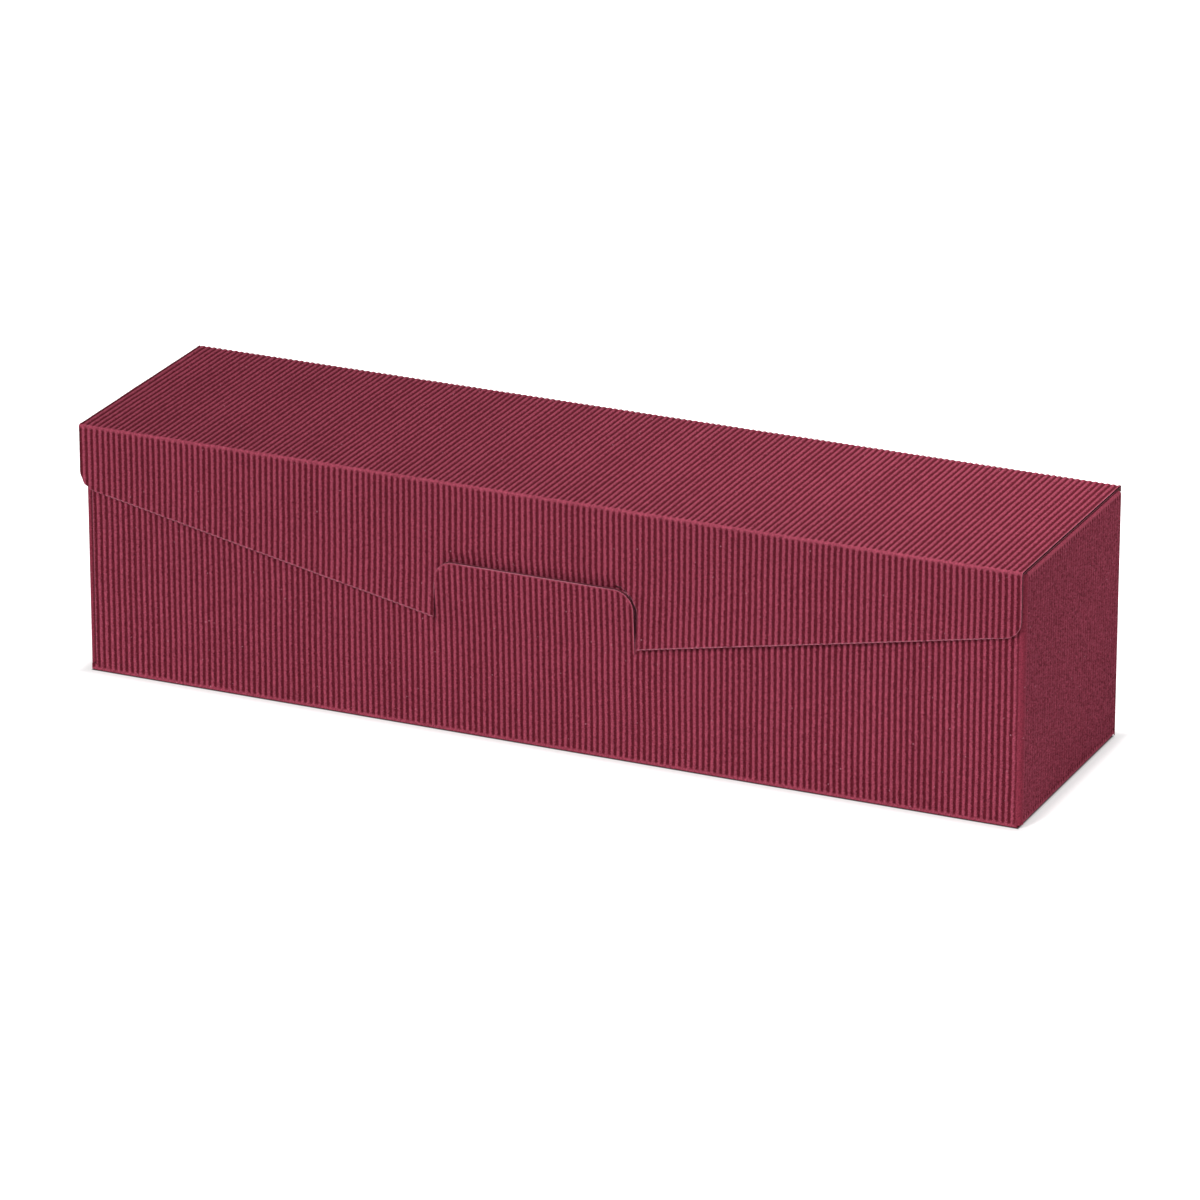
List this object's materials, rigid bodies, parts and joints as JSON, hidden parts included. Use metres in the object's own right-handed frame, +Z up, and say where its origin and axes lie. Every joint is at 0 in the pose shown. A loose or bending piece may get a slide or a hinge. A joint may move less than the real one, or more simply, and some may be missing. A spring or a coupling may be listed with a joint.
{
  "type": "wine gift box",
  "caption": "Long folding gift box of fluted board for a lying bottle, with a hinged lid whose tapered front flap tucks behind a tongue cut in the front.",
  "frame": {"origin": "middle of the underside of the closed box, on the surface that it stands on", "axes": "+X along the box to the right end, -Y towards the front with the tongue, +Z up"},
  "size_m": [0.3706, 0.0988, 0.097],
  "materials": {
    "fluted_paper": "matt bordeaux fluted kraft paper",
    "creased_board": "matt bordeaux paper, flutes crushed along the fold",
    "inner_liner": "matt smooth brown kraft liner"
  },
  "bodies": {
    "box": {"front_wall_liner": "inner_liner", "front_wall_flutes": "fluted_paper", "back_wall_liner": "inner_liner", "back_wall_flutes": "fluted_paper", "left_end_liner": "inner_liner", "left_end_flutes": "fluted_paper", "right_end_liner": "inner_liner", "right_end_flutes": "fluted_paper", "floor_front_liner": "inner_liner", "floor_front_flutes": "fluted_paper", "floor_back_liner": "inner_liner", "floor_back_flutes": "fluted_paper", "floor_left_liner": "inner_liner", "floor_left_flutes": "fluted_paper", "floor_right_liner": "inner_liner", "floor_right_flutes": "fluted_paper", "glue_flap": "creased_board", "front_left_crease": "creased_board", "front_right_crease": "creased_board", "back_left_crease": "creased_board", "back_right_crease": "creased_board", "floor_front_crease": "creased_board", "floor_back_crease": "creased_board", "floor_left_crease": "creased_board", "floor_right_crease": "creased_board", "lid_crease": "creased_board", "left_dust_crease": "creased_board", "right_dust_crease": "creased_board"},
    "lid": {"lid_liner": "inner_liner", "lid_flutes": "fluted_paper", "flap_crease": "creased_board"},
    "lid_flap": {"lid_flap_liner": "inner_liner", "lid_flap_flutes": "fluted_paper", "tuck_tab_liner": "inner_liner", "tuck_tab_flutes": "fluted_paper"},
    "tongue": {"tongue_liner": "inner_liner", "tongue_flutes": "fluted_paper"},
    "left_dust_flap": {"left_dust_flap_liner": "inner_liner", "left_dust_flap_flutes": "fluted_paper"},
    "right_dust_flap": {"right_dust_flap_liner": "inner_liner", "right_dust_flap_flutes": "fluted_paper"}
  },
  "joints": [
    {"name": "lid_hinge", "type": "hinge", "parent": "box", "child": "lid", "pos_m": [0, 0.04685, 0.09585], "axis": [-1, 0, 0], "range_deg": [0, 180], "deforming": ["lid_crease", "left_dust_crease", "right_dust_crease", "tongue_liner", "tongue_flutes"]},
    {"name": "flap_hinge", "type": "hinge", "parent": "lid", "child": "lid_flap", "pos_m": [0, -0.0483, 0.09585], "axis": [-1, 0, 0], "range_deg": [0, 90], "deforming": ["flap_crease"]},
    {"name": "tongue_flex", "type": "hinge", "parent": "box", "child": "tongue", "pos_m": [0, -0.048, 0.042], "axis": [1, 0, 0], "range_deg": [0, 35], "stiffness_Nm_per_rad": 0.05},
    {"name": "right_dust_hinge", "type": "hinge", "parent": "box", "child": "right_dust_flap", "pos_m": [0.18385, 0, 0.0944], "axis": [0, 1, 0], "range_deg": [0, 90]},
    {"name": "left_dust_hinge", "type": "hinge", "parent": "box", "child": "left_dust_flap", "pos_m": [-0.18385, 0, 0.0944], "axis": [0, -1, 0], "range_deg": [0, 90]}
  ],
  "couplings": [
    {"joint": "right_dust_hinge", "follows": "lid_hinge", "ratio": 0.5},
    {"joint": "left_dust_hinge", "follows": "lid_hinge", "ratio": 0.5}
  ]
}
